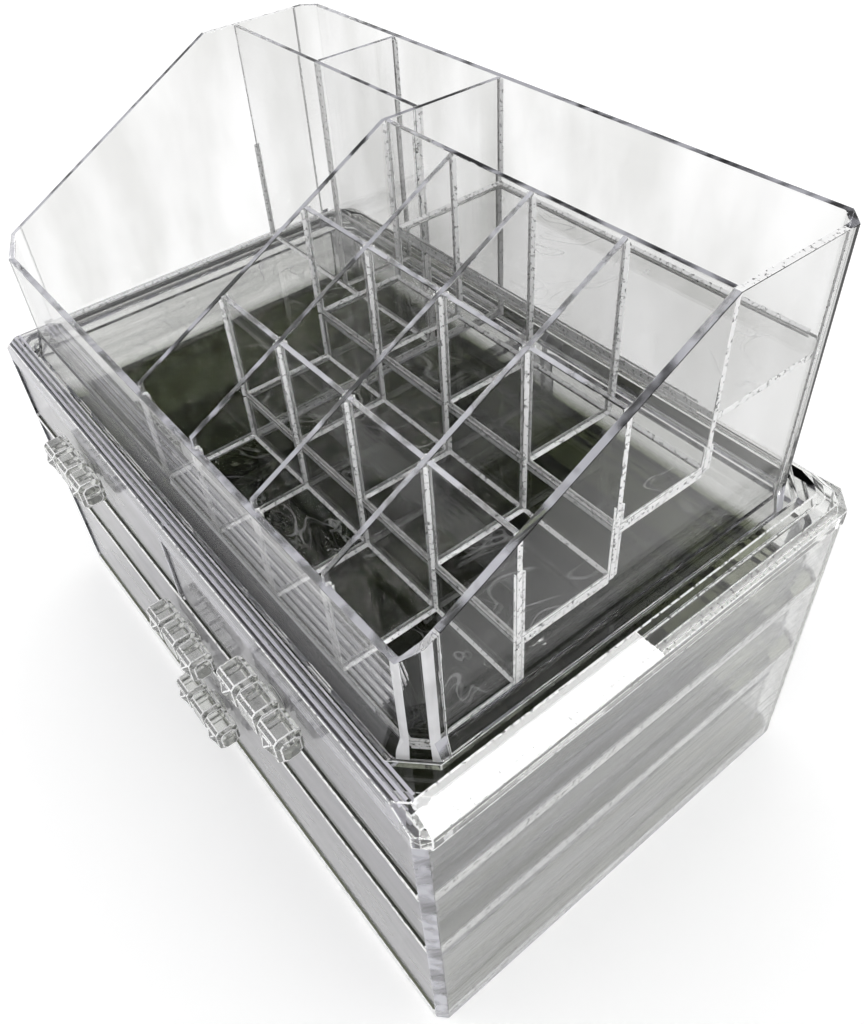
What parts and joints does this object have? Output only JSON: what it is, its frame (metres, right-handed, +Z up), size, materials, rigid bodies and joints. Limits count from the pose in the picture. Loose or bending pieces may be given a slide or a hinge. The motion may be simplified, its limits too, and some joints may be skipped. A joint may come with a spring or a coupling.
{
  "type": "makeup organizer",
  "caption": "Clear desktop makeup organizer: a case of pull-out drawers with faceted knobs under a loose tray of stepped compartments with a sloped top.",
  "frame": {"origin": "centre of the whole object's footprint, knobs included, on the surface that it stands on", "axes": "+X to the right of someone who faces the drawers, +Y to the back, +Z up"},
  "size_m": [0.24, 0.1612, 0.1944],
  "materials": {
    "case_plastic": "clear polished polystyrene",
    "plate_plastic": "clear polystyrene with a dark olive smoke tint",
    "drawer_plastic": "clear polished polystyrene",
    "knob_plastic": "clear faceted polystyrene",
    "tray_plastic": "clear polished polystyrene"
  },
  "bodies": {
    "case": {"case_back_wall": "case_plastic", "case_bottom": "plate_plastic", "case_left_wall": "case_plastic", "case_right_wall": "case_plastic", "case_top_cover": "case_plastic", "shelf_lower": "plate_plastic", "shelf_upper": "plate_plastic", "top_tier_divider": "case_plastic"},
    "upper_left_drawer": {"upper_left_drawer_front": "drawer_plastic", "upper_left_drawer_knob": "knob_plastic", "upper_left_drawer_tub": "drawer_plastic"},
    "upper_right_drawer": {"upper_right_drawer_front": "drawer_plastic", "upper_right_drawer_knob": "knob_plastic", "upper_right_drawer_tub": "drawer_plastic"},
    "middle_drawer": {"middle_drawer_front": "drawer_plastic", "middle_drawer_knob": "knob_plastic", "middle_drawer_tub": "drawer_plastic"},
    "lower_drawer": {"lower_drawer_front": "drawer_plastic", "lower_drawer_knob": "knob_plastic", "lower_drawer_tub": "drawer_plastic"},
    "tray": {"tray_back_wall": "tray_plastic", "tray_column_wall_1": "tray_plastic", "tray_column_wall_2": "tray_plastic", "tray_column_wall_3": "tray_plastic", "tray_column_wall_4": "tray_plastic", "tray_divider_1_1": "tray_plastic", "tray_divider_1_2": "tray_plastic", "tray_divider_1_3": "tray_plastic", "tray_divider_1_4": "tray_plastic", "tray_divider_2_1": "tray_plastic", "tray_divider_2_2": "tray_plastic", "tray_divider_2_3": "tray_plastic", "tray_divider_2_4": "tray_plastic", "tray_floor_left": "tray_plastic", "tray_floor_rear_right": "tray_plastic", "tray_floor_row_1": "tray_plastic", "tray_floor_row_2": "tray_plastic", "tray_floor_row_3": "tray_plastic", "tray_front_wall": "tray_plastic", "tray_left_wall": "tray_plastic", "tray_rear_left_divider": "tray_plastic", "tray_rear_left_front_wall": "tray_plastic", "tray_rear_right_front_wall": "tray_plastic", "tray_right_wall": "tray_plastic", "tray_riser_1": "tray_plastic", "tray_riser_2": "tray_plastic"}
  },
  "joints": [
    {"name": "upper_left_drawer_slide", "type": "slide", "parent": "case", "child": "upper_left_drawer", "axis": [0, -1, 0], "range_m": [0, 0.11]},
    {"name": "upper_right_drawer_slide", "type": "slide", "parent": "case", "child": "upper_right_drawer", "axis": [0, -1, 0], "range_m": [0, 0.11]},
    {"name": "middle_drawer_slide", "type": "slide", "parent": "case", "child": "middle_drawer", "axis": [0, -1, 0], "range_m": [0, 0.11]},
    {"name": "lower_drawer_slide", "type": "slide", "parent": "case", "child": "lower_drawer", "axis": [0, -1, 0], "range_m": [0, 0.11]},
    {"name": "tray_lift", "type": "slide", "parent": "case", "child": "tray", "axis": [0, 0, 1], "range_m": [0, 0.1]}
  ]
}
